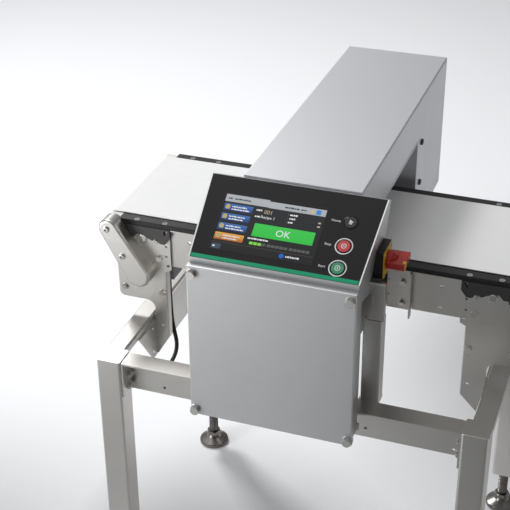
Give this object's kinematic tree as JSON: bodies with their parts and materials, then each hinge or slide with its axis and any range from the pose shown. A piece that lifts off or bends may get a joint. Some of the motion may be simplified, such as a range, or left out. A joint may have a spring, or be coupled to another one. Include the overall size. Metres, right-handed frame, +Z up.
{
  "type": "conveyor metal detector",
  "caption": "Belt conveyor running through a box-shaped detector head, with a tilted control panel on a stainless steel stand with levelling feet.",
  "frame": {"origin": "middle of the bounding box's footprint, on the floor", "axes": "+X along the belt, +Y away from the operator through the detector head, +Z up"},
  "size_m": [0.6952, 0.7098, 0.7776],
  "materials": {
    "frame_steel": "satin stainless steel",
    "plate_steel": "satin stainless steel",
    "cover_steel": "fine satin stainless steel",
    "head_steel": "fine satin stainless steel",
    "bolt_steel": "bright stainless steel",
    "bolt_dark": "dark plated steel",
    "foot_steel": "turned stainless steel",
    "roller_steel": "ground steel",
    "belt_white": "matte food-grade belt",
    "rail_black": "semi-gloss black plastic",
    "block_grey": "dark grey plastic",
    "block_white": "natural white plastic",
    "pulley_alu": "anodised",
    "motor_alu": "cast, painted grey",
    "belt_black": "matte",
    "cable_black": "satin cable jacket",
    "liner_grey": "dark grey plastic",
    "overlay_black": "gloss black membrane",
    "display_dark": "gloss screen",
    "button_black": "gloss",
    "button_red": "gloss",
    "button_green": "gloss",
    "switch_black": "matte",
    "switch_yellow": "matte",
    "switch_red": "semi-gloss"
  },
  "bodies": {
    "machine": {"leg_front_left": "frame_steel", "leg_front_right": "frame_steel", "leg_rear_left": "frame_steel", "leg_rear_right": "frame_steel", "leg_caps": "frame_steel", "side_tie_left": "frame_steel", "side_tie_right": "frame_steel", "front_beam": "frame_steel", "rear_beam": "frame_steel", "beam_bolts": "bolt_steel", "front_posts": "frame_steel", "cross_bar": "frame_steel", "head_shelf": "frame_steel", "rear_stand": "frame_steel", "console_arms": "frame_steel", "belt": "belt_white", "slider_bed": "plate_steel", "rail_near": "rail_black", "rail_far": "rail_black", "rail_screws": "bolt_steel", "side_plate_drive": "plate_steel", "side_plate_drive_far": "plate_steel", "side_plate_tail": "plate_steel", "side_plate_tail_far": "plate_steel", "hangers": "plate_steel", "end_blocks": "block_grey", "bearing_blocks": "block_white", "channels": "plate_steel", "joint_plates": "plate_steel", "link_blocks": "block_grey", "plate_bolts": "bolt_steel", "joint_bolts": "bolt_steel", "drive_cover": "plate_steel", "cover_screws": "bolt_steel", "timing_belt": "belt_black", "gear_motor": "motor_alu", "motor_cable": "cable_black", "head_housing": "head_steel", "gate_liner": "liner_grey", "head_bolts": "bolt_dark", "console_cover": "cover_steel", "console_bolts": "bolt_steel", "console_box": "cover_steel", "panel_housing": "cover_steel", "panel_overlay": "overlay_black", "display": "display_dark", "switch_base": "switch_black", "switch_plate": "switch_yellow"},
    "drive_roller": {"drive_roller": "roller_steel", "roller_pulley": "pulley_alu"},
    "tail_roller": {"tail_roller": "roller_steel"},
    "motor_shaft": {"motor_pulley": "pulley_alu"},
    "home_key": {"button_home": "button_black"},
    "stop_key": {"button_stop": "button_red"},
    "start_key": {"button_start": "button_green"},
    "main_switch": {"switch_knob": "switch_red"},
    "foot_front_left": {"foot_front_left": "foot_steel"},
    "foot_front_right": {"foot_front_right": "foot_steel"},
    "foot_rear_left": {"foot_rear_left": "foot_steel"},
    "foot_rear_right": {"foot_rear_right": "foot_steel"}
  },
  "joints": [
    {"name": "drive_roller_spin", "type": "hinge", "parent": "machine", "child": "drive_roller", "pos_m": [-0.3343, -0.0301, 0.6279], "axis": [0, 1, 0], "continuous": true},
    {"name": "tail_roller_spin", "type": "hinge", "parent": "machine", "child": "tail_roller", "pos_m": [0.3343, -0.0301, 0.6279], "axis": [0, 1, 0], "continuous": true},
    {"name": "motor_spin", "type": "hinge", "parent": "machine", "child": "motor_shaft", "pos_m": [-0.284, -0.1631, 0.5509], "axis": [0, 1, 0], "continuous": true},
    {"name": "switch_turn", "type": "hinge", "parent": "machine", "child": "main_switch", "pos_m": [0.145, -0.2311, 0.69], "axis": [1, 0, 0], "range_deg": [0, 90]},
    {"name": "home_press", "type": "slide", "parent": "machine", "child": "home_key", "axis": [0, 0.5358, -0.8443], "range_m": [0, 0.0015], "stiffness_N_per_m": 400, "springref_m": -0.002},
    {"name": "stop_press", "type": "slide", "parent": "machine", "child": "stop_key", "axis": [0, 0.5358, -0.8443], "range_m": [0, 0.0015], "stiffness_N_per_m": 400, "springref_m": -0.002},
    {"name": "start_press", "type": "slide", "parent": "machine", "child": "start_key", "axis": [0, 0.5358, -0.8443], "range_m": [0, 0.0015], "stiffness_N_per_m": 400, "springref_m": -0.002},
    {"name": "foot_front_left_turn", "type": "hinge", "parent": "machine", "child": "foot_front_left", "pos_m": [-0.2807, -0.2881, 0.08], "axis": [0, 0, 1], "continuous": true},
    {"name": "foot_front_right_turn", "type": "hinge", "parent": "machine", "child": "foot_front_right", "pos_m": [0.296, -0.2881, 0.08], "axis": [0, 0, 1], "continuous": true},
    {"name": "foot_rear_left_turn", "type": "hinge", "parent": "machine", "child": "foot_rear_left", "pos_m": [-0.2807, 0.1212, 0.08], "axis": [0, 0, 1], "continuous": true},
    {"name": "foot_rear_right_turn", "type": "hinge", "parent": "machine", "child": "foot_rear_right", "pos_m": [0.296, 0.1212, 0.08], "axis": [0, 0, 1], "continuous": true}
  ],
  "couplings": [
    {"joint": "tail_roller_spin", "follows": "drive_roller_spin", "ratio": 1},
    {"joint": "motor_spin", "follows": "drive_roller_spin", "ratio": 0.70833}
  ]
}
